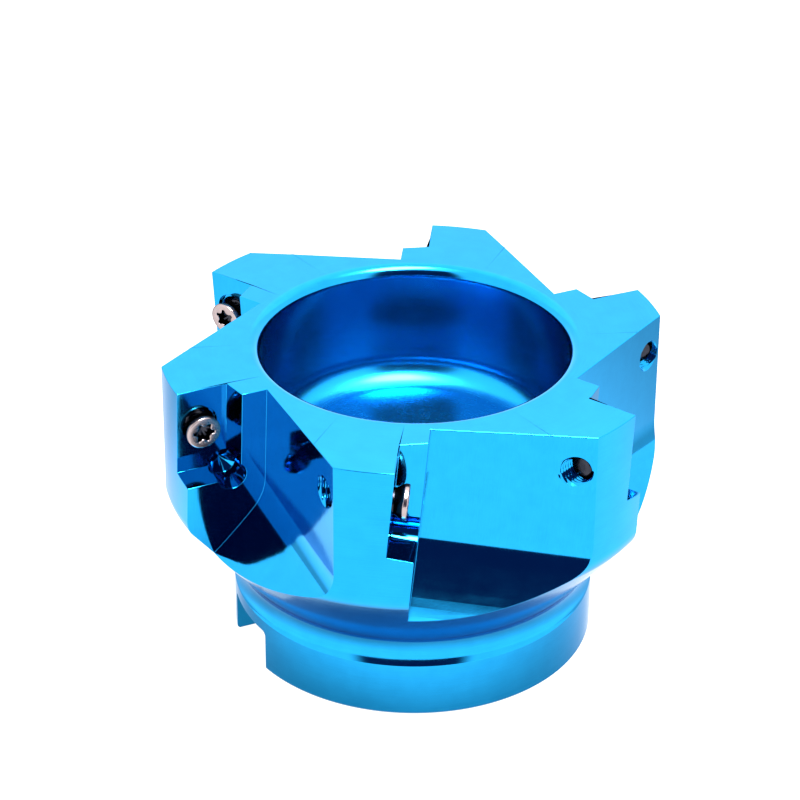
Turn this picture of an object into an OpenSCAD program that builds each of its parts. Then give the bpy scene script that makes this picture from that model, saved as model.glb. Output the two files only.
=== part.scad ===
// Indexable 90 degree face mill, 80 mm class, six teeth, 27 mm arbor bore.
// Millimetres. +Z runs from the arbor face to the cutting end.
// The origin is the centre of the arbor face; the drive slots run along X.

/* [Cutter body] */
// Height from the arbor face to the cutting end
cutter_h = 50; // [48:0.5:56]
// Diameter of the steel body across the teeth, without inserts
body_d = 78.5; // [77:0.5:80]
// Angle of the first insert seat from the drive slot axis
tooth_phase = 1.5; // [-4:0.5:6]
// Diameter inside which the cutting end face is flat
face_flat_d = 68.8; // [66:0.2:74]
// Slope of the relieved outer part of the cutting end face
face_relief = 0.8; // [0:0.1:1.5]

/* [Chip gullets] */
// Distance of the gullet corner from the axis, along the leading face
corner_u = 26.48; // [26:0.1:27.5]
// Lead of the leading face ahead of the axis, at the cutting end
lead_n = 4.6; // [4:0.1:5.2]
// Axial rake of the leading face and of the insert seat
axial_rake = 4.9; // [3:0.1:6]
// Depth of the straight trailing face before the floor bends
gullet_straight = 16.4; // [15:0.1:18]
// Radius of the bend between the trailing face and the floor
gullet_r = 8; // [6:0.5:9]
// Angle that the bend turns through
gullet_bend = 40; // [36:1:42]
// Radius of the nearly straight run out of the floor
runout_r = 90; // [80:5:140]

/* [Insert seats] */
// Depth of the insert seat below the leading face
seat_depth = 4.07; // [3.6:0.05:4.4]
// Distance from the gullet corner to the inner wall of the seat
seat_wall_u = 3.96; // [3.5:0.05:4.5]
// Lean of the inner wall, which matches the insert's clearance angle
seat_wall_lean = 12; // [5:1:15]
// Height of the seat, from the cutting end down to its ledge
seat_h = 15.13; // [14:0.1:16]
// Lean of the ledge
ledge_lean = 5; // [2:1:8]
// Radius of the corner relief drilling
relief_r = 2.3; // [1.8:0.1:2.5]
// Depth of the corner relief below the seat, without its drill point
relief_extra = 0.3; // [0.2:0.1:0.8]

/* [Insert screws] */
// Thread diameter of the insert screw
screw_d = 4; // [3.8:0.1:4.2]
// Head diameter of the insert screw
head_d = 5.36; // [5.2:0.02:5.6]
// Height of the cylindrical rim of the head
head_rim = 0.7; // [0.5:0.05:0.8]
// Length of the screw with its head
screw_len = 10.1; // [9:0.1:10.5]
// Height of the least driven screw's head above the insert seat
screw_out = 2.25; // [2:0.05:2.6]
// Depth of the six-lobed driver recess
lobe_depth = 1.7; // [1.2:0.1:1.9]
// Radial clearance of the screw in its hole
screw_clear = 0.05; // [0.02:0.01:0.08]
// Distance of the screw axis from the gullet corner, along the seat
screw_u = 9.1; // [9:0.1:9.6]
// Distance of the screw axis below the cutting end, along the seat
screw_v = 7.15; // [6.5:0.05:7.5]
// Length of the oval countersink towards the cutting end
sink_offset = 0.7; // [0.4:0.1:1]

/* [Front recess and arbor bore] */
// Arbor bore diameter
bore_d = 27; // [25.4:0.1:27]
// Diameter of the front recess for the clamp screw
recess_d = 47.4; // [46:0.2:48.4]
// Height of the recess floor above the arbor face
recess_floor = 30; // [29:0.5:32]
// Fillet at the foot of the recess wall
recess_fillet = 4.5; // [2:0.5:6]
// Fillet at the rim of the recess
rim_fillet = 1.8; // [1:0.1:2]
// Depth of the arbor bore from the arbor face
bore_depth = 22.5; // [22:0.5:24]
// Chamfer at the mouth of the bore
bore_chamfer = 0.8; // [0.4:0.1:1.2]
// Diameter of the through hole for the clamp screw
clamp_hole_d = 13.5; // [13:0.1:14]
// Chamfer of the through hole in the recess floor
clamp_chamfer = 0.3; // [0.1:0.1:0.5]

/* [Hub] */
// Diameter of the hub ring
hub_d = 57; // [56:0.5:58]
// Height of the hub ring
hub_h = 9; // [8.5:0.25:9.5]
// Chamfer at the foot of the hub ring
hub_chamfer = 0.35; // [0.2:0.05:0.6]
// Height of the corner where the body diameter meets the back cone
cone_top = 27.2; // [26.5:0.1:28]
// Angle of the back cone from the arbor face
cone_angle = 51.3; // [50:0.1:53]
// Rounding between the body diameter and the back cone
shoulder_r = 4; // [2:0.5:5]
// Radius of the neck groove above the ring
neck_r = 4.6; // [4.2:0.1:5]
// Width of the drive slots
slot_w = 12.4; // [12:0.1:12.4]
// Depth of the drive slots
slot_d = 7; // [6.5:0.1:7.2]
// Corner radius at the bottom of the drive slots
slot_r = 0.8; // [0.4:0.1:1]

/* [Hidden] */
$fn = 96;
teeth = 6;
pitch_a = 360 / teeth;
ro = body_d / 2;
rh = hub_d / 2;
rw = recess_d / 2;
rs = screw_d / 2;
rhd = head_d / 2;
far = 75;

// Turn of each screw's driver recess, as the screws were left
lobe_turn = [10, 38, 22, 4, 47, 28];

// How much further in each screw was left than the least driven one
driven = [0.15, 0.05, 0.15, 0.35, 0, 0.35];

// A point of the leading face frame (u outwards, v up, w into the tooth)
// in the frame of the whole tool, for a tooth at angle 0.
function lead_point(u, v, w) = [
    corner_u + u,
    lead_n + v * sin(axial_rake) - w * cos(axial_rake),
    cutter_h + v * cos(axial_rake) + w * sin(axial_rake)
];

// The same point seen from the leading face frame of a tooth at angle 0.
function to_lead(p) = [
    p[0] - corner_u,
    (p[1] - lead_n) * sin(axial_rake) + (p[2] - cutter_h) * cos(axial_rake),
    -(p[1] - lead_n) * cos(axial_rake) + (p[2] - cutter_h) * sin(axial_rake)
];

function turned(p, a) = [
    p[0] * cos(a) - p[1] * sin(a), p[0] * sin(a) + p[1] * cos(a), p[2]
];

// Where the screw axis of a tooth leaves through the trailing face, in the
// leading face frame of the tooth before it, whose plane u = 0 is that face.
axis_a = to_lead(turned(lead_point(screw_u, -screw_v, 0), pitch_a));
axis_b = to_lead(turned(lead_point(screw_u, -screw_v, 10), pitch_a));
axis_t = axis_a[0] / (axis_a[0] - axis_b[0]);
exit_p = axis_a + (axis_b - axis_a) * axis_t;

// Puts its children in the leading face frame of tooth k:
// X outwards along the face, Y up in the face, Z into the tooth.
module on_lead(k) {
    rotate([0, 0, tooth_phase + k * pitch_a])
        translate([corner_u, lead_n, cutter_h])
            rotate([90 - axial_rake, 0, 0])
                children();
}

// ---- turned blank ----

// Meeting points of the back cone, the shoulder and the neck groove
cone_dir = [-cos(cone_angle), -sin(cone_angle)];
cone_nrm = [sin(cone_angle), -cos(cone_angle)];
shoulder_p = [ro, cone_top];
shoulder_t = shoulder_r * tan((90 - cone_angle) / 2);
// The neck circle touches the cone and ends on the ring's upper corner
ring_p = [rh, hub_h];
nq = shoulder_p + cone_nrm * neck_r - ring_p;
nb = nq[0] * cone_dir[0] + nq[1] * cone_dir[1];
nc = nq[0] * nq[0] + nq[1] * nq[1] - neck_r * neck_r;
neck_c = shoulder_p + cone_nrm * neck_r + cone_dir * (-nb - sqrt(nb * nb - nc));
neck_t = neck_c - cone_nrm * neck_r;

module blank_profile() {
    difference() {
        polygon([
            [0, 0], [rh - hub_chamfer, 0], [rh, hub_chamfer], ring_p, neck_t,
            shoulder_p,
            [ro, cutter_h - (ro - face_flat_d / 2) * tan(face_relief)],
            [face_flat_d / 2, cutter_h], [0, cutter_h]
        ]);
        // neck groove
        translate(neck_c) circle(neck_r);
        // rounded shoulder
        difference() {
            polygon([
                shoulder_p, shoulder_p + [0, shoulder_t],
                shoulder_p + cone_dir * shoulder_t
            ]);
            translate(shoulder_p + [-shoulder_r, shoulder_t])
                circle(shoulder_r);
        }
    }
}

// Front recess with its rim and foot fillets, the arbor bore from the back,
// and the clamp screw's hole through the web between them
module bore_profile() {
    difference() {
        translate([0, recess_floor])
            square([rw + rim_fillet, cutter_h - recess_floor + 1]);
        // foot fillet
        difference() {
            translate([rw - recess_fillet, recess_floor])
                square([recess_fillet, recess_fillet]);
            translate([rw - recess_fillet, recess_floor + recess_fillet])
                circle(recess_fillet);
        }
        // wall, with the rim rolled over
        translate([rw, recess_floor - 1])
            square([rim_fillet + 1, cutter_h - recess_floor + 1 - rim_fillet]);
        translate([rw + rim_fillet, cutter_h - rim_fillet])
            circle(rim_fillet);
    }
    polygon([
        [0, -1], [bore_d / 2 + bore_chamfer + 1, -1],
        [bore_d / 2, bore_chamfer], [bore_d / 2, bore_depth], [0, bore_depth]
    ]);
    polygon([
        [0, bore_depth - 1], [clamp_hole_d / 2, bore_depth - 1],
        [clamp_hole_d / 2, recess_floor - clamp_chamfer],
        [clamp_hole_d / 2 + clamp_chamfer + 1, recess_floor + 1],
        [0, recess_floor + 1]
    ]);
}

// ---- milled features ----

// Outline of one chip gullet in the leading face: straight trailing face,
// bend, then a long shallow run out.
bend_c = [gullet_r, -gullet_straight];
bend_e = bend_c - gullet_r * [cos(gullet_bend), sin(gullet_bend)];
run_c = bend_e + runout_r * [cos(gullet_bend), sin(gullet_bend)];
run_a = acos((run_c[0] - 14) / runout_r);
run_e = run_c - runout_r * [cos(run_a), sin(run_a)];

module gullet_profile() {
    union() {
        translate([0, -gullet_straight])
            square([far, gullet_straight + 12]);
        intersection() {
            translate(bend_c) circle(gullet_r);
            polygon([
                bend_c, bend_c + [-2 * gullet_r, 0],
                bend_c - 2 * gullet_r * [cos(gullet_bend), sin(gullet_bend)]
            ]);
        }
        intersection() {
            translate(run_c) circle(runout_r);
            polygon([
                run_c,
                run_c - 1.2 * runout_r * [cos(gullet_bend), sin(gullet_bend)],
                run_c - 1.2 * runout_r * [cos(run_a), sin(run_a)]
            ]);
        }
        polygon([run_e, run_c, [run_c[0], run_e[1]]]);
    }
}

module gullet(k) {
    on_lead(k) translate([0, 0, -45]) linear_extrude(45) gullet_profile();
}

// Insert seat: flat floor, leaning inner wall and leaning ledge, open at
// the cutting end and at the outside.
module insert_seat(k) {
    wl = tan(seat_wall_lean);
    ll = tan(ledge_lean);
    on_lead(k) {
        intersection() {
            // across the seat: inner wall
            rotate([-90, 0, 0]) translate([0, 0, -30]) linear_extrude(45)
                polygon([
                    [seat_wall_u - 2 * wl, 2], [30, 2], [30, -seat_depth],
                    [seat_wall_u + seat_depth * wl, -seat_depth]
                ]);
            // along the seat: ledge
            rotate([0, 90, 0]) linear_extrude(40)
                polygon([
                    [2, -seat_h - 2 * ll], [2, 15], [-seat_depth, 15],
                    [-seat_depth, -seat_h + seat_depth * ll]
                ]);
        }
        // corner relief drilling, with its drill point
        translate([
            seat_wall_u + seat_depth * wl + 0.55,
            -seat_h + seat_depth * ll + 0.15, -2
        ]) {
            cylinder(r = relief_r, h = seat_depth + relief_extra + 2);
            translate([0, 0, seat_depth + relief_extra + 2])
                cylinder(r1 = relief_r, r2 = 0, h = relief_r / tan(59));
        }
    }
}

// Screw hole from the seat to the trailing face, with its countersinks
module screw_hole(k) {
    rc = rhd + 0.05;
    on_lead(k) {
        translate([screw_u, -screw_v, seat_depth - 1])
            cylinder(r = rs + screw_clear, h = 16);
        // oval mouth
        for (s = [0, sink_offset])
            translate([screw_u, -screw_v + s, seat_depth - 1])
                cylinder(r = rc, h = 1 + head_rim + 0.1);
        translate([screw_u - rc, -screw_v, seat_depth - 1])
            cube([2 * rc, sink_offset, 1 + head_rim + 0.1]);
        // conical seat of the head
        translate([screw_u, -screw_v, seat_depth + head_rim + 0.1])
            cylinder(r1 = rc, r2 = rs + screw_clear,
                     h = (rc - rs - screw_clear) / tan(30));
    }
    // deburred exit in the trailing face
    on_lead(k - 1)
        translate(exit_p) rotate([0, 90, 0]) translate([0, 0, -0.75])
            cylinder(r1 = rs - 0.2, r2 = rs + 0.75, h = 1);
}

module drive_slots() {
    rotate([90, 0, 90]) translate([0, 0, -45]) linear_extrude(90)
        difference() {
            translate([-slot_w / 2, -1]) square([slot_w, slot_d + 1]);
            for (s = [-1, 1])
                difference() {
                    translate([s * (slot_w / 2 - slot_r / 2), slot_d - slot_r / 2])
                        square(slot_r, center = true);
                    translate([s * (slot_w / 2 - slot_r), slot_d - slot_r])
                        circle(slot_r);
                }
        }
}

module cutter_body() {
    color([0.16, 0.72, 0.98])
        difference() {
            rotate_extrude($fn = 180) difference() {
                blank_profile();
                bore_profile();
            }
            for (k = [0 : teeth - 1]) {
                gullet(k);
                insert_seat(k);
                screw_hole(k);
            }
            drive_slots();
        }
}

// ---- insert screw ----

// Six-lobed driver recess
module lobe_profile() {
    difference() {
        circle(1.66);
        for (i = [0 : 5])
            rotate(i * 60 + 30) translate([1.78, 0]) circle(0.62);
    }
}

// Countersunk insert screw, head face at z = 0, pointing to +Z
module screw(turn) {
    cone_h = (rhd - rs) / tan(30);
    difference() {
        rotate_extrude($fn = 64)
            polygon([
                [0, 0], [rhd - 0.15, 0], [rhd, 0.15], [rhd, head_rim],
                [rs, head_rim + cone_h], [rs, screw_len - 0.45],
                [rs - 0.45, screw_len], [0, screw_len]
            ]);
        rotate(turn) translate([0, 0, -0.5])
            linear_extrude(lobe_depth + 0.5) lobe_profile();
    }
}

module insert_screw(k) {
    color([0.78, 0.72, 0.72])
        on_lead(k)
            translate([screw_u, -screw_v, seat_depth - screw_out + driven[k]])
                screw(lobe_turn[k]);
}

module insert_screw_1() { insert_screw(0); }
module insert_screw_2() { insert_screw(1); }
module insert_screw_3() { insert_screw(2); }
module insert_screw_4() { insert_screw(3); }
module insert_screw_5() { insert_screw(4); }
module insert_screw_6() { insert_screw(5); }

cutter_body();
insert_screw_1();
insert_screw_2();
insert_screw_3();
insert_screw_4();
insert_screw_5();
insert_screw_6();
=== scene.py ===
import math

import bmesh
import bpy
import numpy as np
from mathutils import Matrix, Vector


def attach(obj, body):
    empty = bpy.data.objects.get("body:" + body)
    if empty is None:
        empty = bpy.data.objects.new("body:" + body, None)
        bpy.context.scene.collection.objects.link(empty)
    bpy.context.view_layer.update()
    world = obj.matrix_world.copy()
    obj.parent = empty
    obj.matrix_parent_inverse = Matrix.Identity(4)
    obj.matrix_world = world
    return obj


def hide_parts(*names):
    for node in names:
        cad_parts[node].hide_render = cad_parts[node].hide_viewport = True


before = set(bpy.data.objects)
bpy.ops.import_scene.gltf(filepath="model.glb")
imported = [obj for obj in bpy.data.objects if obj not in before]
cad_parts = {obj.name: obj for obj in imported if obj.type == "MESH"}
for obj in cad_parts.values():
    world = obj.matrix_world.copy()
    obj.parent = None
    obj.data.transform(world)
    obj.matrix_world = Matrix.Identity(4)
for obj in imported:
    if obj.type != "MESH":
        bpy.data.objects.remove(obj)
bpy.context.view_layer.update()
scene = bpy.context.scene

# Dimensions of the cutter, in millimetres, as in the CAD source.
H = 50.0
RO = 39.25
RH = 28.5
HUB_H = 9.0
RW = 23.7
FLOOR_Z = 30.0
FOOT_R = 4.5
RIM_R = 1.8
RB = 13.5
BORE_TOP = 22.5
RC = 6.75
CONE_TOP = 27.2
CONE_A = math.radians(51.3)
SHOULDER_R = 4.0
NECK_R = 4.6
FLAT_R = 34.4
RELIEF_A = math.radians(0.8)
PHASE = 1.5
RAKE = 4.9
CU, LN = 26.48, 4.6
SEAT = 4.07
SEAT_U = 3.96
SEAT_H = 15.13
WALL = math.tan(math.radians(12.0))
LEDGE = math.tan(math.radians(5.0))
SU, SV = 9.1, -7.15
RHD, RS = 2.68, 2.0
# how far each screw was left standing out of its seat, and its turn
OUTS = [2.1, 2.2, 2.1, 1.9, 2.25, 1.9]
TURNS = [10, 38, 22, 4, 47, 28]
PITCH = 0.7
COS30 = math.cos(math.radians(30.0))
TAN30 = math.tan(math.radians(30.0))


def lead_matrix(k):
    """Leading face frame of tooth k: x outwards, y up the face, z into the tooth."""
    return (
        Matrix.Rotation(math.radians(PHASE + 60.0 * k), 4, "Z")
        @ Matrix.Translation((CU, LN, H))
        @ Matrix.Rotation(math.radians(90.0 - RAKE), 4, "X")
    )


def arc(cx, cy, r, a0, a1, n):
    """Points of an arc, angles in degrees."""
    return [
        (
            cx + r * math.cos(math.radians(a0 + (a1 - a0) * i / n)),
            cy + r * math.sin(math.radians(a0 + (a1 - a0) * i / n)),
        )
        for i in range(n + 1)
    ]


def make_object(name, verts, faces, matrix=None):
    mesh = bpy.data.meshes.new(name)
    mesh.from_pydata([tuple(v) for v in verts], [], [tuple(f) for f in faces])
    if matrix is not None:
        mesh.transform(matrix)
    bm = bmesh.new()
    bm.from_mesh(mesh)
    bmesh.ops.recalc_face_normals(bm, faces=bm.faces)
    bm.to_mesh(mesh)
    bm.free()
    obj = bpy.data.objects.new(name, mesh)
    scene.collection.objects.link(obj)
    return obj


def prism(name, outline, z0, z1, matrix):
    n = len(outline)
    verts = [(x, y, z0) for x, y in outline] + [(x, y, z1) for x, y in outline]
    faces = [tuple(range(n - 1, -1, -1)), tuple(range(n, 2 * n))]
    faces += [(i, (i + 1) % n, n + (i + 1) % n, n + i) for i in range(n)]
    return make_object(name, verts, faces, matrix)


def solid_rings(name, rings, matrix):
    """A closed body from rings of equal length, capped by a centre point at each end."""
    m = len(rings[0])
    verts = [p for ring in rings for p in ring]
    lo = np.mean(np.array(rings[0]), axis=0)
    hi = np.mean(np.array(rings[-1]), axis=0)
    faces = []
    for i in range(len(rings) - 1):
        for j in range(m):
            k = (j + 1) % m
            faces.append((i * m + j, i * m + k, (i + 1) * m + k, (i + 1) * m + j))
    verts.append(tuple(lo))
    verts.append(tuple(hi))
    a, b = len(verts) - 2, len(verts) - 1
    for j in range(m):
        k = (j + 1) % m
        faces.append((a, k, j))
        faces.append((b, (len(rings) - 1) * m + j, (len(rings) - 1) * m + k))
    return make_object(name, verts, faces, matrix)


def circle_ring(cx, cy, r, z, m, stretch=0.0):
    """A ring in the xy plane; stretch moves its upper half up, into an oval."""
    out = []
    for j in range(m):
        a = 2 * math.pi * j / m
        s = math.sin(a)
        out.append((cx + r * math.cos(a), cy + r * s + (stretch if s > 1e-9 else 0.0), z))
    return out


def cut(obj, cutter, solver="MANIFOLD"):
    mod = obj.modifiers.new("cut", "BOOLEAN")
    mod.operation = "DIFFERENCE"
    mod.object = cutter
    mod.solver = solver
    dg = bpy.context.evaluated_depsgraph_get()
    dg.update()
    new = bpy.data.meshes.new_from_object(obj.evaluated_get(dg), depsgraph=dg)
    obj.modifiers.clear()
    old = obj.data
    obj.data = new
    bpy.data.meshes.remove(old)
    used = cutter.data
    bpy.data.objects.remove(cutter)
    bpy.data.meshes.remove(used)


# ------------------------------------------------------------------ the body


def body_profile():
    """Closed section of the turned blank (r, z), with its bore and front recess."""
    t = SHOULDER_R * math.tan((math.pi / 2 - CONE_A) / 2)
    cd = (-math.cos(CONE_A), -math.sin(CONE_A))
    cn = (math.sin(CONE_A), -math.cos(CONE_A))
    qx = RO + cn[0] * NECK_R - RH
    qy = CONE_TOP + cn[1] * NECK_R - HUB_H
    nb = qx * cd[0] + qy * cd[1]
    nc = qx * qx + qy * qy - NECK_R * NECK_R
    s = -nb - math.sqrt(nb * nb - nc)
    ncx = RO + cn[0] * NECK_R + cd[0] * s
    ncy = CONE_TOP + cn[1] * NECK_R + cd[1] * s
    a0 = math.degrees(math.atan2(HUB_H - ncy, RH - ncx)) % 360
    a1 = math.degrees(math.atan2(-cn[1], -cn[0])) % 360
    pts = [(RB + 0.8, 0.0), (RH - 0.35, 0.0), (RH, 0.35)]
    pts += [(RH, 3.0), (RH, 6.0)]
    pts += arc(ncx, ncy, NECK_R, a0, a1, 28)
    px, py = pts[-1]
    ex, ey = RO + cd[0] * t, CONE_TOP + cd[1] * t
    pts += [(px + (ex - px) * f, py + (ey - py) * f) for f in (0.25, 0.5, 0.75)]
    pts += arc(RO - SHOULDER_R, CONE_TOP + t, SHOULDER_R, math.degrees(CONE_A) - 90, 0, 16)
    pts += [(RO, 35.0), (RO, 42.0)]
    pts += [(RO, H - (RO - FLAT_R) * math.tan(RELIEF_A)), (FLAT_R, H)]
    pts += arc(RW + RIM_R, H - RIM_R, RIM_R, 90, 180, 14)
    pts += [(RW, 44.0), (RW, 39.0)]
    pts += arc(RW - FOOT_R, FLOOR_Z + FOOT_R, FOOT_R, 0, -90, 30)
    pts += [(13.0, FLOOR_Z), (RC + 0.3, FLOOR_Z), (RC, FLOOR_Z - 0.3), (RC, 26.5)]
    pts += [(RC, BORE_TOP + 0.2), (RC + 0.2, BORE_TOP), (10.0, BORE_TOP)]
    pts += [(RB, BORE_TOP), (RB, 16.0), (RB, 9.0), (RB, 0.8)]
    return pts


def gullet_outline():
    gr, gs, gb, rr = 8.0, 16.4, math.radians(40.0), 90.0
    bx, by = gr, -gs
    ex, ey = bx - gr * math.cos(gb), by - gr * math.sin(gb)
    cx, cy = ex + rr * math.cos(gb), ey + rr * math.sin(gb)
    ra = math.acos((cx - 14.0) / rr)
    pts = [(0.0, 12.0), (0.0, -8.0)]
    pts += arc(bx, by, gr, 180, 220, 26)
    pts += arc(cx, cy, rr, 220, 180 + math.degrees(ra), 12)[1:]
    pts += [(75.0, pts[-1][1]), (75.0, 12.0)]
    return pts


def thread_rings(r_in, r_out, z0, z1, m, rows_per_pitch, fade=0.0):
    """Rings of a right-hand helical thread between two radii, along z."""
    rings = []
    n = int(round((z1 - z0) / PITCH * rows_per_pitch))
    for i in range(n + 1):
        z = z0 + (z1 - z0) * i / n
        ring = []
        for j in range(m):
            a = 2 * math.pi * j / m
            ph = (z / PITCH + j / m) % 1.0
            v = abs(2.0 * ph - 1.0)
            v = min(1.0, max(0.0, (v - 0.12) / 0.70))
            k = 1.0
            if fade > 0.0:
                k = min(1.0, (z1 - z) / fade, (z - z0) / fade + 0.15)
            r = r_out - (r_out - r_in) * v * max(0.0, k)
            ring.append((r * math.cos(a), r * math.sin(a), z))
        rings.append(ring)
    return rings


def make_body():
    prof = body_profile()
    n = 480
    p = len(prof)
    verts = [
        (
            r * math.cos(2 * math.pi * i / n),
            r * math.sin(2 * math.pi * i / n),
            z,
        )
        for i in range(n)
        for r, z in prof
    ]
    faces = [
        (i * p + j, ((i + 1) % n) * p + j, ((i + 1) % n) * p + (j + 1) % p, i * p + (j + 1) % p)
        for i in range(n)
        for j in range(p)
    ]
    body = make_object("cutter_body_finish", verts, faces)

    for k in range(6):
        m = lead_matrix(k)
        cut(body, prism("g", gullet_outline(), -45.0, 0.0, m))
    for k in range(6):
        m = lead_matrix(k)
        # insert seat
        corners = []
        for w in (-2.0, SEAT):
            u0, v0 = SEAT_U + w * WALL, -SEAT_H + w * LEDGE
            corners += [(u0, v0, w), (30.0, v0, w), (30.0, 15.0, w), (u0, 15.0, w)]
        quads = [(3, 2, 1, 0), (4, 5, 6, 7), (0, 1, 5, 4), (1, 2, 6, 5), (2, 3, 7, 6), (3, 0, 4, 7)]
        cut(body, make_object("s", corners, quads, m))
        # corner relief drilling, with the cone that the drill leaves
        cx, cy = SEAT_U + SEAT * WALL + 0.55, -SEAT_H + SEAT * LEDGE + 0.15
        tip = SEAT + 0.3 + 2.3 / math.tan(math.radians(59.0))
        rings = [
            circle_ring(cx, cy, 2.3, z, 64) for z in (-2.0, SEAT + 0.3)
        ] + [circle_ring(cx, cy, 0.05, tip - 0.03, 64)]
        cut(body, solid_rings("r", rings, m))
        # oval mouth and conical seat of the screw head
        rc = RHD + 0.05
        d = 0.8
        rings = [
            circle_ring(SU, SV, rc, SEAT - 1.0, 96, 0.7),
            circle_ring(SU, SV, rc, SEAT + d, 96, 0.7),
        ]
        cut(body, solid_rings("m", rings, m))
        ch = (rc - RS - 0.05) / TAN30
        rings = [
            circle_ring(SU, SV, rc - 0.01, SEAT + d - 0.4, 96),
            circle_ring(SU, SV, rc - 0.01, SEAT + d, 96),
            circle_ring(SU, SV, RS + 0.05, SEAT + d + ch, 96),
            circle_ring(SU, SV, RS + 0.05, SEAT + d + ch + 0.6, 96),
        ]
        cut(body, solid_rings("c", rings, m))
        # tapped hole, out through the trailing face
        rings = thread_rings(RS + 0.05, RS + 0.40, 0.0, 14.0, 60, 10)
        rings = [[(x + SU, y + SV, z + SEAT + d + ch) for x, y, z in r] for r in rings]
        cut(body, solid_rings("t", rings, m))
        # its deburred mouth in the trailing face
        prev = lead_matrix(k - 1)
        inv = prev.inverted()
        a = inv @ (m @ Vector((SU, SV, 0.0)))
        b = inv @ (m @ Vector((SU, SV, 10.0)))
        q = a + (b - a) * (a.x / (a.x - b.x))
        rings = [
            [(-0.75, y, x) for x, y, _ in circle_ring(q.z, q.y, RS - 0.2, 0, 72)],
            [(0.25, y, x) for x, y, _ in circle_ring(q.z, q.y, RS + 0.75, 0, 72)],
        ]
        cut(body, solid_rings("e", rings, prev))
    # drive slots, straight across the arbor face
    w, dep, sr = 6.2, 7.0, 0.8
    out = [(-w, -1.0), (w, -1.0)]
    out += arc(w - sr, dep - sr, sr, 0, 90, 8) + arc(-w + sr, dep - sr, sr, 90, 180, 8)
    m = Matrix(((0, 0, 1, 0), (1, 0, 0, 0), (0, 1, 0, 0), (0, 0, 0, 1)))
    cut(body, prism("d", out, -45.0, 45.0, m))
    return body


def bevel_body(body):
    """Breaks every edge of the body, apart from the threads', as on the real tool."""
    body.data.materials.append(None)
    body.data.materials.append(None)
    axes = []
    for k in range(6):
        m = lead_matrix(k)
        axes.append((m @ Vector((SU, SV, SEAT)), (m.to_3x3() @ Vector((0, 0, 1))).normalized()))
    bm = bmesh.new()
    bm.from_mesh(body.data)
    bmesh.ops.remove_doubles(bm, verts=bm.verts, dist=0.0004)
    bmesh.ops.dissolve_degenerate(bm, edges=bm.edges, dist=0.0003)
    layer = bm.edges.layers.float.get("bevel_weight_edge") or bm.edges.layers.float.new(
        "bevel_weight_edge"
    )

    def in_thread(p):
        for a, d in axes:
            q = p - a
            t = q.dot(d)
            if 2.0 < t < 16.0 and (q - d * t).length < 2.62:
                return True
        return False

    count = 0
    for f in bm.faces:
        f.smooth = True
    for e in bm.edges:
        e.smooth = True
        if len(e.link_faces) != 2:
            continue
        ang = e.calc_face_angle(0.0)
        if ang < math.radians(24.0):
            continue
        if in_thread(e.verts[0].co) and in_thread(e.verts[1].co):
            e.smooth = ang < math.radians(38.0)
            continue
        # the edges around the front face keep a wider, rubbed break
        e[layer] = 0.85 if min(v.co.z for v in e.verts) > 49.5 else 0.30
        e.smooth = False
        count += 1
    bm.to_mesh(body.data)
    bm.free()
    mod = body.modifiers.new("edge break", "BEVEL")
    mod.limit_method = "WEIGHT"
    mod.width = 0.19
    mod.segments = 3
    mod.profile = 0.5
    mod.use_clamp_overlap = False
    mod.loop_slide = False
    mod.miter_outer = "MITER_SHARP"
    mod.material = 1
    dg = bpy.context.evaluated_depsgraph_get()
    dg.update()
    new = bpy.data.meshes.new_from_object(body.evaluated_get(dg), depsgraph=dg)
    body.modifiers.clear()
    body.data = new
    print("bevelled", count, "edges;", len(new.polygons), "faces")


def profile_normals():
    """Segments of the turned section, each with the true normal at both its ends."""
    pts = np.array(body_profile())
    a, b = pts, np.roll(pts, -1, axis=0)
    d = b - a
    n = np.stack([d[:, 1], -d[:, 0]], axis=1)
    n /= np.linalg.norm(n, axis=1)[:, None]
    length = np.linalg.norm(d, axis=1)
    na, nb = n.copy(), n.copy()
    count = len(pts)
    for i in range(count):
        j = (i + 1) % count
        if n[i] @ n[j] < math.cos(math.radians(12.0)):
            continue
        if length[i] > 1.3 and length[j] > 1.3:
            continue
        # an arc's end takes the straight line's normal, so that they meet smoothly
        if length[i] > 1.3 and length[j] < 1.3:
            m = n[i]
        elif length[j] > 1.3 and length[i] < 1.3:
            m = n[j]
        else:
            m = n[i] + n[j]
            m = m / np.linalg.norm(m)
        nb[i] = m
        na[j] = m
    return a, b, na, nb


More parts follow.
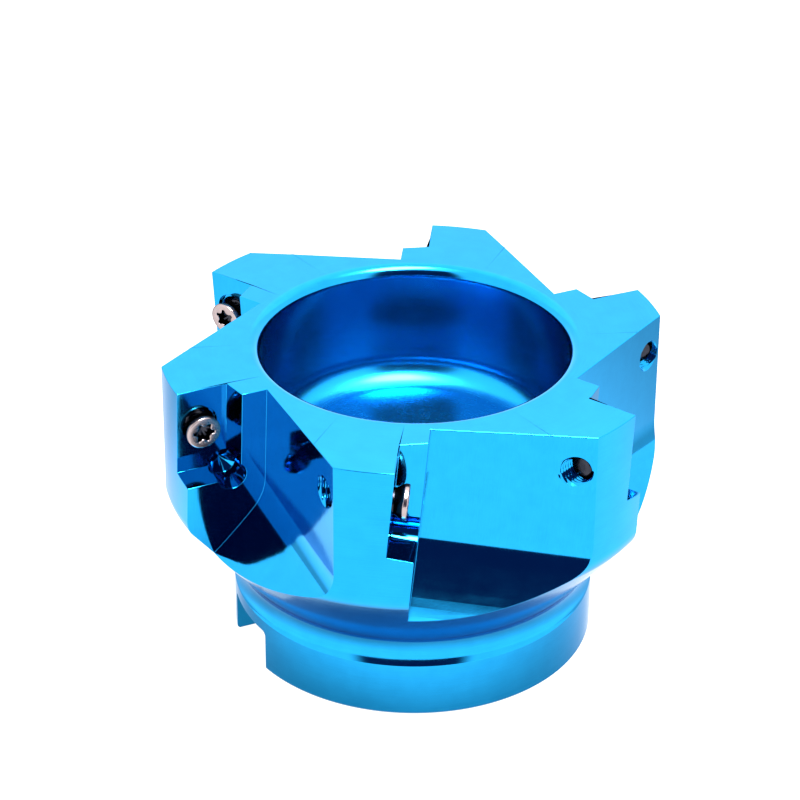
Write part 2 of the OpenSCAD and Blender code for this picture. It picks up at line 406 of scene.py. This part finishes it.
def set_normals(obj):
    """True normals for the turned faces, plane ones for the flats, and edge breaks
    that run from one to the other."""
    mesh = obj.data
    nl, npoly = len(mesh.loops), len(mesh.polygons)
    lv = np.zeros(nl, dtype=np.int64)
    mesh.loops.foreach_get("vertex_index", lv)
    lt = np.zeros(npoly, dtype=np.int64)
    mesh.polygons.foreach_get("loop_total", lt)
    pn = np.zeros(npoly * 3)
    mesh.polygons.foreach_get("normal", pn)
    pn = pn.reshape(-1, 3)
    pc = np.zeros(npoly * 3)
    mesh.polygons.foreach_get("center", pc)
    pc = pc.reshape(-1, 3)
    pa = np.zeros(npoly)
    mesh.polygons.foreach_get("area", pa)
    mi = np.zeros(npoly, dtype=np.int64)
    mesh.polygons.foreach_get("material_index", mi)
    co = np.zeros(len(mesh.vertices) * 3)
    mesh.vertices.foreach_get("co", co)
    co = co.reshape(-1, 3)
    lp = np.repeat(np.arange(npoly), lt)
    bevel = mi == 1
    r = np.hypot(pc[:, 0], pc[:, 1])
    a, b, na, nb = profile_normals()
    best = np.full(npoly, 1e9)
    seg = np.zeros(npoly, dtype=np.int64)
    q = np.stack([r, pc[:, 2]], axis=1)
    for i in range(len(a)):
        ab = b[i] - a[i]
        t = np.clip(((q - a[i]) @ ab) / (ab @ ab), 0, 1)
        d = np.linalg.norm(q - (a[i] + t[:, None] * ab), axis=1)
        better = d < best
        best[better] = d[better]
        seg[better] = i
    flat = (na[seg] + nb[seg]) / 2
    flat3 = np.stack(
        [flat[:, 0] * pc[:, 0] / r, flat[:, 0] * pc[:, 1] / r, flat[:, 1]], axis=1
    )
    flat3 /= np.linalg.norm(flat3, axis=1)[:, None]
    turned = (~bevel) & (best < 0.03) & ((flat3 * pn).sum(axis=1) > math.cos(math.radians(9.0)))
    normal = pn[lp].copy()
    # turned faces
    tl = np.where(turned[lp])[0]
    v = co[lv[tl]]
    s = seg[lp[tl]]
    rv = np.hypot(v[:, 0], v[:, 1])
    ab = b[s] - a[s]
    t = (((np.stack([rv, v[:, 2]], axis=1) - a[s]) * ab).sum(axis=1)) / (ab * ab).sum(axis=1)
    t = np.clip(t, 0, 1)[:, None]
    m = na[s] * (1 - t) + nb[s] * t
    m /= np.linalg.norm(m, axis=1)[:, None]
    normal[tl] = np.stack([m[:, 0] * v[:, 0] / rv, m[:, 0] * v[:, 1] / rv, m[:, 1]], axis=1)
    # other faces: smooth over curved walls, plane on the large flats
    order = np.argsort(lv, kind="stable")
    lvs = lv[order]
    plain = (~bevel & ~turned)[lp]
    loose = plain & (pa[lp] < 6.0)
    acc = normal.copy()
    acc[~loose] = 0
    deep = np.cos(np.radians(24.0))
    for shift in range(1, 14):
        i, j = order[:-shift], order[shift:]
        same = lvs[:-shift] == lvs[shift:]
        ok = same & plain[i] & plain[j] & ((pn[lp[i]] * pn[lp[j]]).sum(axis=1) > deep)
        x, y = i[ok & loose[i]], j[ok & loose[i]]
        np.add.at(acc, x, pn[lp[y]])
        x, y = j[ok & loose[j]], i[ok & loose[j]]
        np.add.at(acc, x, pn[lp[y]])
    ln = np.linalg.norm(acc, axis=1)
    good = loose & (ln > 1e-6)
    normal[good] = acc[good] / ln[good][:, None]
    # edge breaks
    bl = bevel[lp]
    acc = np.zeros((nl, 3))
    own = pn[lp].copy()
    for shift in range(1, 14):
        i, j = order[:-shift], order[shift:]
        same = lvs[:-shift] == lvs[shift:]
        for x, y in ((i, j), (j, i)):
            ok = same & bl[x] & ~bl[y] & ((pn[lp[x]] * normal[y]).sum(axis=1) > 0.25)
            np.add.at(acc, x[ok], normal[y[ok]])
            ok = same & bl[x] & bl[y] & ((pn[lp[x]] * pn[lp[y]]).sum(axis=1) > 0.25)
            np.add.at(own, x[ok], pn[lp[y[ok]]])
    ln = np.linalg.norm(acc, axis=1)
    use = bl & (ln > 1e-6)
    normal[use] = acc[use] / ln[use][:, None]
    rest = bl & ~use
    lo = np.linalg.norm(own, axis=1)
    normal[rest] = own[rest] / lo[rest][:, None]
    bad = ~np.isfinite(normal).all(axis=1)
    normal[bad] = pn[lp[bad]]
    print("normals:", int(turned.sum()), "turned,", int(bevel.sum()), "edge breaks,", int(bad.sum()), "bad")
    return normal


body = make_body()
print("body faces before bevel", len(body.data.polygons))
bevel_body(body)


# ---------------------------------------------------------------- the screws


def lobe_radius(a):
    """Radius of the six-lobed driver recess at angle a."""
    best = 1.66
    for i in range(6):
        d = (a - math.radians(30 + 60 * i) + math.pi) % (2 * math.pi) - math.pi
        if abs(d) < math.pi / 2 and abs(1.78 * math.sin(d)) < 0.62:
            r = 1.78 * math.cos(d) - math.sqrt(0.62**2 - (1.78 * math.sin(d)) ** 2)
            best = min(best, r)
    return best


def make_screw(k, turn):
    m = 144
    ang = [2 * math.pi * j / m for j in range(m)]
    lob = np.array([lobe_radius(a - math.radians(turn)) for a in ang])
    for _ in range(2):
        lob = (np.roll(lob, 1) + 2 * lob + np.roll(lob, -1)) / 4

    def ring(r, z):
        r = np.broadcast_to(r, (m,))
        return [(r[j] * math.cos(ang[j]), r[j] * math.sin(ang[j]), z) for j in range(m)]

    rings = [
        ring(0.35, 1.66),
        ring(0.8, 1.52),
        ring(lob - 0.10, 1.36),
        ring(lob - 0.02, 1.30),
        ring(lob, 1.22),
        ring(lob, 0.7),
        ring(lob, 0.15),
        ring(lob + 0.03, 0.06),
        ring(lob + 0.09, 0.01),
        ring(lob + 0.16, 0.0),
        ring(2.05, 0.0),
        ring(2.42, 0.0),
        ring(2.53, 0.012),
        ring(2.61, 0.05),
        ring(2.66, 0.11),
        ring(2.68, 0.19),
        ring(2.68, 0.45),
        ring(2.68, 0.62),
        ring(2.66, 0.69),
        ring(2.60, 0.80),
    ]
    cone_end = 0.7 + (RHD - RS) / TAN30
    for f in (0.3, 0.6, 0.9):
        z = 0.80 + (cone_end - 0.80) * f
        rings.append(ring(2.60 + (RS - 2.60) * f, z))
    rings.append(ring(RS - 0.03, cone_end + 0.05))
    rings.append(ring(RS - 0.06, cone_end + 0.25))
    z0, z1 = cone_end + 0.35, 10.0
    n = int((z1 - z0) / PITCH * 12)
    for i in range(n + 1):
        z = z0 + (z1 - z0) * i / n
        fade = min(1.0, (z - z0) / 0.5 + 0.1)
        tip = max(0.0, z - 9.55)
        rr = []
        for j in range(m):
            ph = (z / PITCH - 0.35 + j / m) % 1.0
            v = min(1.0, max(0.0, (abs(2 * ph - 1) - 0.14) / 0.66))
            r = RS - 0.01 - 0.40 * v * fade
            rr.append(min(r, RS - tip))
        rings.append(ring(np.array(rr), z))
    rings.append(ring(1.45, 10.06))
    rings.append(ring(1.35, 10.1))
    rings.append(ring(0.6, 10.1))
    mat = lead_matrix(k) @ Matrix.Translation((SU, SV, SEAT - OUTS[k]))
    obj = solid_rings("insert_screw_%d_finish" % (k + 1), rings, mat)
    # painted shade: near-black colour in the driver recess and from the underside of the head down
    inv = mat.inverted()
    dark = []
    for v in obj.data.vertices:
        q = inv @ v.co
        rad = math.hypot(q.x, q.y)
        if q.z > 0.74:
            dark.append(1.0)
        elif rad < 1.9 and q.z > 0.10:
            dark.append(1.0)
        else:
            dark.append(0.0)
    att = obj.data.attributes.new("shade_paint_mask", "FLOAT", "POINT")
    att.data.foreach_set("value", np.array(dark, dtype=np.float32))
    return obj


screws = [make_screw(k, TURNS[k]) for k in range(6)]


# ------------------------------------------- marks for the machining patterns


def add_machining_coordinates(obj):
    """Stores, on every face corner, coordinates that follow how the face was cut:
    along the tool marks, across them, and the kind of face (1 turned, 0 milled)."""
    mesh = obj.data
    prof = np.array(body_profile())
    seg_a, seg_b = prof, np.roll(prof, -1, axis=0)
    co = np.zeros(len(mesh.vertices) * 3)
    mesh.vertices.foreach_get("co", co)
    co = co.reshape(-1, 3)
    r = np.hypot(co[:, 0], co[:, 1])
    pz = np.stack([r, co[:, 2]], axis=1)
    dist = np.full(len(co), 1e9)
    for a, b in zip(seg_a, seg_b):
        ab = b - a
        t = np.clip(((pz - a) @ ab) / max(ab @ ab, 1e-12), 0, 1)
        dist = np.minimum(dist, np.linalg.norm(pz - (a + t[:, None] * ab), axis=1))
    on_blank = dist < 0.02
    loops = len(mesh.loops)
    lv = np.zeros(loops, dtype=np.int64)
    mesh.loops.foreach_get("vertex_index", lv)
    kind = np.zeros(loops)
    haze = np.zeros(loops)
    coord = np.zeros((loops, 3))
    mats = [np.array(lead_matrix(k).inverted()) for k in range(6)]
    for p in mesh.polygons:
        idx = np.arange(p.loop_start, p.loop_start + p.loop_total)
        vs = lv[idx]
        c = np.array(p.center)
        nrm = np.array(p.normal)
        radial = np.array([c[0], c[1], 0.0])
        radial /= max(np.linalg.norm(radial), 1e-9)
        tang = np.array([-radial[1], radial[0], 0.0])
        turned = bool(on_blank[vs].all()) and abs(nrm @ tang) < 0.08
        if turned:
            rr = r[vs]
            a = np.arctan2(co[vs, 1], co[vs, 0])
            a0 = math.atan2(c[1], c[0])
            a = a0 + ((a - a0 + math.pi) % (2 * math.pi) - math.pi)
            coord[idx, 0] = a * 30.0
            coord[idx, 1] = co[vs, 2]
            coord[idx, 2] = rr
            kind[idx] = 1.0
            if rr.max() < RW + 0.1 and c[2] > FLOOR_Z - 0.2:
                z = co[vs, 2]
                haze[idx] = 0.45 + 0.55 * np.clip((FLOOR_Z + FOOT_R - z) / FOOT_R, 0, 1)
        else:
            th = math.degrees(math.atan2(c[1], c[0])) - PHASE
            k = int(round(th / 60.0 - 0.12)) % 6
            q = np.c_[co[vs], np.ones(len(vs))] @ mats[k].T
            coord[idx] = q[:, :3] + np.array([0.0, 0.0, 37.0 * k])
    att = mesh.attributes.new("tool_co", "FLOAT_VECTOR", "CORNER")
    att.data.foreach_set("vector", coord.astype(np.float32).ravel())
    att = mesh.attributes.new("turned", "FLOAT", "CORNER")
    att.data.foreach_set("value", kind.astype(np.float32))
    att = mesh.attributes.new("recess", "FLOAT", "CORNER")
    att.data.foreach_set("value", haze.astype(np.float32))


body_normals = set_normals(body)
add_machining_coordinates(body)


def finish_mesh(obj, angle, to_m=True):
    mesh = obj.data
    if to_m:
        mesh.transform(Matrix.Scale(0.001, 4))
    mesh.polygons.foreach_set("use_smooth", np.ones(len(mesh.polygons), dtype=bool))
    mesh.set_sharp_from_angle(angle=math.radians(angle))
    mesh.update()
    mod = obj.modifiers.new("weighted normals", "WEIGHTED_NORMAL")
    mod.keep_sharp = True
    mod.weight = 50
    mod.mode = "FACE_AREA"


flat = np.zeros(len(body.data.vertices) * 3)
body.data.vertices.foreach_get("co", flat)
flat = flat.reshape(-1, 3)
flat[:, :2] *= 0.99997
flat[:, 2] = np.clip(flat[:, 2], 0.0, H)
body.data.vertices.foreach_set("co", flat.ravel())
body.data.transform(Matrix.Scale(0.001, 4))
body.data.polygons.foreach_set("material_index", np.zeros(len(body.data.polygons), dtype=np.int32))
body.data.polygons.foreach_set("use_smooth", np.ones(len(body.data.polygons), dtype=bool))
body.data.edges.foreach_set("use_edge_sharp", np.zeros(len(body.data.edges), dtype=bool))
body.data.update()
body.data.normals_split_custom_set(body_normals.tolist())
for s in screws:
    finish_mesh(s, 38.0)


# ------------------------------------------------------------------ materials


class Nodes:
    """A short way to write a shader graph."""

    def __init__(self, tree):
        self.t = tree
        self.n = tree.nodes
        self.l = tree.links

    def put(self, socket, value):
        if isinstance(value, bpy.types.NodeSocket):
            self.l.new(value, socket)
        else:
            socket.default_value = value

    def math(self, op, a, b=None, c=None, clamp=False):
        nd = self.n.new("ShaderNodeMath")
        nd.operation = op
        nd.use_clamp = clamp
        self.put(nd.inputs[0], a)
        if b is not None:
            self.put(nd.inputs[1], b)
        if c is not None:
            self.put(nd.inputs[2], c)
        return nd.outputs[0]

    def vec(self, op, a, b=None):
        nd = self.n.new("ShaderNodeVectorMath")
        nd.operation = op
        self.put(nd.inputs[0], a)
        if b is not None:
            self.put(nd.inputs[1], b)
        return nd.outputs["Value"] if op in ("DOT_PRODUCT", "LENGTH") else nd.outputs[0]

    def noise(self, vector, scale, detail=3.0, rough=0.5, dist=0.0):
        nd = self.n.new("ShaderNodeTexNoise")
        nd.noise_dimensions = "3D"
        self.put(nd.inputs["Vector"], vector)
        nd.inputs["Scale"].default_value = scale
        nd.inputs["Detail"].default_value = detail
        nd.inputs["Roughness"].default_value = rough
        nd.inputs["Distortion"].default_value = dist
        return nd.outputs["Fac"] if "Fac" in nd.outputs else nd.outputs[0]

    def remap(self, value, a, b, c, d, smooth=False):
        nd = self.n.new("ShaderNodeMapRange")
        nd.clamp = True
        if smooth:
            nd.interpolation_type = "SMOOTHSTEP"
        self.put(nd.inputs[0], value)
        for i, v in enumerate((a, b, c, d)):
            self.put(nd.inputs[i + 1], v)
        return nd.outputs[0]

    def mix(self, fac, a, b):
        nd = self.n.new("ShaderNodeMix")
        nd.data_type = "RGBA"
        self.put(nd.inputs[0], fac)
        self.put(nd.inputs[6], a)
        self.put(nd.inputs[7], b)
        return nd.outputs[2]

    def lerp(self, fac, a, b):
        nd = self.n.new("ShaderNodeMix")
        nd.data_type = "FLOAT"
        self.put(nd.inputs[0], fac)
        self.put(nd.inputs[2], a)
        self.put(nd.inputs[3], b)
        return nd.outputs[0]

    def scale3(self, vector, sx, sy, sz):
        nd = self.n.new("ShaderNodeVectorMath")
        nd.operation = "MULTIPLY"
        self.put(nd.inputs[0], vector)
        nd.inputs[1].default_value = (sx, sy, sz)
        return nd.outputs[0]

    def attribute(self, name):
        nd = self.n.new("ShaderNodeAttribute")
        nd.attribute_name = name
        return nd


def new_material(name):
    mat = bpy.data.materials.new(name)
    mat.use_nodes = True
    g = Nodes(mat.node_tree)
    bsdf = next(n for n in g.n if n.type == "BSDF_PRINCIPLED")
    return mat, g, bsdf


def blue_metal():
    """Bright blue dyed film on machined metal: turning and milling marks, faint
    unevenness of the film."""
    mat, g, bsdf = new_material("blue film on machined metal")
    at = g.attribute("tool_co")
    kind = g.attribute("turned").outputs["Fac"]
    p = at.outputs["Vector"]
    # turned faces: rings, so the pattern runs along x (the angle) and is fine across
    rings = g.noise(g.scale3(p, 0.02, 1.0, 1.0), 9.0, 4.0, 0.62)
    rings2 = g.noise(g.scale3(p, 0.12, 1.0, 1.0), 2.1, 3.0, 0.5)
    # milled faces: lines up the face, and broad passes
    lines = g.noise(g.scale3(p, 1.0, 0.035, 1.0), 7.0, 4.0, 0.6)
    passes = g.noise(g.scale3(p, 1.0, 0.18, 1.0), 0.55, 2.0, 0.5)
    cloud = g.noise(p, 0.35, 4.0, 0.55)
    fine = g.noise(p, 26.0, 2.0, 0.5)
    marks = g.lerp(kind, lines, rings)
    wide = g.lerp(kind, passes, rings2)
    # colour: the film is a little uneven
    shade = g.math("ADD", g.math("MULTIPLY", cloud, 0.5), g.math("MULTIPLY", marks, 0.5))
    light = (0.0070, 0.162, 0.346, 1.0)
    deep = (0.0056, 0.144, 0.316, 1.0)
    col = g.mix(g.remap(shade, 0.35, 0.65, 0.0, 1.0), deep, light)
    # the film in the front recess is thinner, and duller than outside
    recess = g.attribute("recess").outputs["Fac"]
    thin = g.mix(marks, (0.0064, 0.166, 0.375, 1.0), (0.0074, 0.184, 0.402, 1.0))
    col = g.mix(g.remap(recess, 0.0, 0.45, 0.0, 1.0), col, thin)
    g.put(bsdf.inputs["Base Color"], col)
    bsdf.inputs["Metallic"].default_value = 1.0
    bsdf.inputs["Specular Tint"].default_value = (0.64, 0.80, 0.98, 1.0)
    rough = g.math(
        "ADD",
        g.lerp(kind, g.remap(marks, 0.3, 0.7, 0.045, 0.075), g.remap(marks, 0.3, 0.7, 0.08, 0.12)),
        g.math("ADD", g.remap(cloud, 0.3, 0.75, 0.0, 0.03), g.math("MULTIPLY", recess, 0.15)),
    )
    g.put(bsdf.inputs["Roughness"], rough)
    # relief, calmer in the recess
    height = g.math(
        "ADD",
        g.math("MULTIPLY", g.math("SUBTRACT", marks, 0.5), 0.0012),
        g.math(
            "ADD",
            g.math("MULTIPLY", g.math("SUBTRACT", wide, 0.5), 0.0028),
            g.math("MULTIPLY", g.math("SUBTRACT", fine, 0.5), 0.0003),
        ),
    )
    height = g.math("MULTIPLY", height, g.remap(recess, 0.0, 0.6, 1.0, 0.12))
    bump = g.n.new("ShaderNodeBump")
    bump.inputs["Strength"].default_value = 1.0
    bump.inputs["Distance"].default_value = 0.001
    g.put(bump.inputs["Height"], height)
    g.l.new(bump.outputs[0], bsdf.inputs["Normal"])
    return mat


def screw_steel():
    """Bright zinc-free steel of the insert screws, turned, with a faint warm tone."""
    mat, g, bsdf = new_material("bright screw steel")
    tc = g.n.new("ShaderNodeTexCoord")
    p = g.scale3(tc.outputs["Object"], 1000.0, 1000.0, 1000.0)
    cloud = g.noise(p, 0.9, 4.0, 0.6)
    fine = g.noise(p, 14.0, 3.0, 0.6)
    col = g.mix(cloud, (0.170, 0.138, 0.139, 1.0), (0.230, 0.190, 0.191, 1.0))
    # painted shade: the masked parts of the screw take a near-black colour
    shade_paint_mask = g.attribute("shade_paint_mask").outputs["Fac"]
    painted_dark_colour = g.mix(cloud, (0.009, 0.010, 0.014, 1.0), (0.024, 0.025, 0.032, 1.0))
    col = g.mix(shade_paint_mask, col, painted_dark_colour)
    g.put(bsdf.inputs["Base Color"], col)
    bsdf.inputs["Specular Tint"].default_value = (0.35, 0.33, 0.34, 1.0)
    bsdf.inputs["Metallic"].default_value = 1.0
    g.put(bsdf.inputs["Roughness"], g.remap(fine, 0.3, 0.7, 0.14, 0.30))
    bump = g.n.new("ShaderNodeBump")
    bump.inputs["Strength"].default_value = 1.0
    bump.inputs["Distance"].default_value = 0.001
    g.put(bump.inputs["Height"], g.math("MULTIPLY", fine, 0.004))
    g.l.new(bump.outputs[0], bsdf.inputs["Normal"])
    return mat


blue = blue_metal()
steel = screw_steel()
body.data.materials.clear()
body.data.materials.append(blue)
for s in screws:
    s.data.materials.clear()
    s.data.materials.append(steel)

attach(body, "cutter")
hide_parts("cutter_body")
for k, s in enumerate(screws):
    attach(s, "screw_%d" % (k + 1))
    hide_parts("insert_screw_%d" % (k + 1))


# --------------------------------------------------------- floor, light, camera

CAM_TURN = math.radians(-23.889)


def build_floor():
    n = 48
    size = 3.0
    verts, faces = [], []
    for i in range(n + 1):
        for j in range(n + 1):
            verts.append((size * (i / n - 0.5), size * (j / n - 0.5), 0.0))
    for i in range(n):
        for j in range(n):
            a = i * (n + 1) + j
            faces.append((a, a + n + 1, a + n + 2, a + 1))
    mesh = bpy.data.meshes.new("floor")
    mesh.from_pydata(verts, [], faces)
    obj = bpy.data.objects.new("floor", mesh)
    scene.collection.objects.link(obj)
    mat, g, bsdf = new_material("pale floor")
    tc = g.n.new("ShaderNodeTexCoord")
    cloud = g.noise(tc.outputs["Object"], 6.0, 3.0, 0.5)
    # painted shade: the floor's colour is darker behind the tool than in front of it
    near = g.mix(cloud, (0.115, 0.115, 0.115, 1), (0.125, 0.125, 0.125, 1))
    away = g.mix(cloud, (0.040, 0.040, 0.040, 1), (0.046, 0.046, 0.046, 1))
    depth = g.vec(
        "DOT_PRODUCT", tc.outputs["Object"], (math.sin(CAM_TURN), -math.cos(CAM_TURN), 0.0)
    )
    side = g.remap(depth, -0.05, 0.02, 0.0, 1.0, True)
    tone = g.mix(side, away, near)
    # painted shadow: the light box glows dimmer where the tool stands and behind it
    flat = g.vec("LENGTH", g.vec("MULTIPLY", tc.outputs["Object"], (1.0, 1.0, 0.0)))
    reach = g.math("ADD", flat, g.math("MULTIPLY", depth, 0.5))
    lit = g.math(
        "MULTIPLY",
        g.remap(reach, 0.040, 0.070, 0.0, 1.0, True),
        g.remap(depth, -0.05, 0.0, 0.0, 1.0, True),
    )
    g.put(bsdf.inputs["Base Color"], tone)
    # the table is a light box; its glow carries the painted shadow from above
    g.put(bsdf.inputs["Emission Strength"], g.lerp(lit, 1.05, 2.60))
    bsdf.inputs["Emission Color"].default_value = (1.0, 1.0, 1.0, 1.0)
    bsdf.inputs["Roughness"].default_value = 0.75
    bsdf.inputs["Specular IOR Level"].default_value = 0.2
    mesh.materials.append(mat)
    return obj


build_floor()


def build_world():
    """Soft white studio: bright all round, a bright panel overhead, and a darker part
    on the photographer's side."""
    world = bpy.data.worlds.new("studio")
    scene.world = world
    world.use_nodes = True
    g = Nodes(world.node_tree)
    bg = next(n for n in g.n if n.type == "BACKGROUND")
    tc = g.n.new("ShaderNodeTexCoord")
    d = tc.outputs["Generated"]
    front = (math.sin(CAM_TURN), -math.cos(CAM_TURN), 0.0)
    side = (math.cos(CAM_TURN), math.sin(CAM_TURN), 0.0)
    f = g.vec("DOT_PRODUCT", d, front)
    s = g.vec("DOT_PRODUCT", d, side)
    z = g.vec("DOT_PRODUCT", d, (0.0, 0.0, 1.0))
    az = g.math("MULTIPLY", g.math("ARCTAN2", s, f), 57.29578)
    el = g.math("MULTIPLY", g.math("ARCSINE", z), 57.29578)
    aaz = g.math("ABSOLUTE", az)
    # darker part around the camera
    m_az = g.remap(aaz, 27.0, 38.0, 1.0, 0.0, True)
    m_lo = g.remap(el, -2.0, 0.5, 0.0, 1.0, True)
    m_hi = g.remap(el, 52.5, 56.5, 1.0, 0.0, True)
    dark = g.math("MULTIPLY", m_az, g.math("MULTIPLY", m_lo, m_hi))
    # overhead panel, with the lamp's own disc in it
    pel, paz = math.radians(76.0), math.radians(32.0)
    panel = (
        math.cos(pel) * (math.cos(paz) * front[0] + math.sin(paz) * side[0]),
        math.cos(pel) * (math.cos(paz) * front[1] + math.sin(paz) * side[1]),
        math.sin(pel),
    )
    c = g.math("MULTIPLY", g.math("ARCCOSINE", g.vec("DOT_PRODUCT", d, panel)), 57.29578)
    wide = g.remap(c, 32.0, 16.0, 0.0, 1.0, True)
    # the lamp itself, an oval soft box
    u = (-math.sin(paz), math.cos(paz))
    across = (
        u[0] * front[0] + u[1] * side[0],
        u[0] * front[1] + u[1] * side[1],
        0.0,
    )
    upward = Vector(panel).cross(Vector(across))
    qa = g.math("MULTIPLY", g.vec("DOT_PRODUCT", d, across), 57.29578 / 14.0)
    qb = g.math("MULTIPLY", g.vec("DOT_PRODUCT", d, tuple(upward)), 57.29578 / 16.0)
    q = g.math("SQRT", g.math("ADD", g.math("MULTIPLY", qa, qa), g.math("MULTIPLY", qb, qb)))
    core = g.remap(q, 1.12, 0.70, 0.0, 1.0, True)
    core = g.math("MULTIPLY", core, g.remap(z, 0.2, 0.3, 0.0, 1.0))
    level = g.math("ADD", 3.6, g.math("MULTIPLY", wide, 2.4))
    level = g.math("ADD", level, g.math("MULTIPLY", core, 110.0))
    # a little brighter high up behind the tool
    behind = g.math(
        "MULTIPLY", g.remap(el, 28.5, 32.5, 0.0, 1.0, True), g.remap(f, 0.0, -0.5, 0.0, 1.0, True)
    )
    level = g.math("ADD", level, g.math("MULTIPLY", behind, 0.8))
    sky = g.n.new("ShaderNodeCombineXYZ")
    for i in range(3):
        g.put(sky.inputs[i], level)
    col = g.mix(dark, sky.outputs[0], (0.05, 0.06, 0.19, 1.0))
    g.l.new(col, bg.inputs["Color"])
    bg.inputs["Strength"].default_value = 1.0


build_world()


def build_camera():
    """The photograph's camera: 29 degrees above the table, on a long lens."""
    f_px, dist, el, roll = 2967.928, 0.455286, math.radians(29.1), math.radians(-0.546)
    a, b = math.atan2(14.894, f_px), math.atan2(-60.135, f_px)
    back = Vector((0.0, -math.cos(el), math.sin(el)))
    pos = Vector((0.0, 0.0, 0.05)) + back * dist
    fwd = -back
    right = fwd.cross(Vector((0, 0, 1))).normalized()
    up = right.cross(fwd)
    base = Matrix((right, up, fwd))
    cr, sr = math.cos(roll), math.sin(roll)
    rr = Matrix(((cr, -sr, 0), (sr, cr, 0), (0, 0, 1)))
    ca, sa = math.cos(a), math.sin(a)
    ry = Matrix(((ca, 0, sa), (0, 1, 0), (-sa, 0, ca)))
    cb, sb = math.cos(b), math.sin(b)
    rx = Matrix(((1, 0, 0), (0, cb, -sb), (0, sb, cb)))
    rot = ry @ rx @ rr @ base
    right, up, fwd = rot[0], rot[1], rot[2]
    m = Matrix.Identity(4)
    for i in range(3):
        m[i][0], m[i][1], m[i][2], m[i][3] = right[i], up[i], -fwd[i], pos[i]
    data = bpy.data.cameras.new("camera")
    data.sensor_width = 36.0
    data.lens = f_px / 800.0 * 36.0
    data.clip_start, data.clip_end = 0.02, 20.0
    cam = bpy.data.objects.new("camera", data)
    scene.collection.objects.link(cam)
    cam.matrix_world = Matrix.Rotation(CAM_TURN, 4, "Z") @ m
    scene.camera = cam


build_camera()
scene.view_settings.view_transform = "Standard"
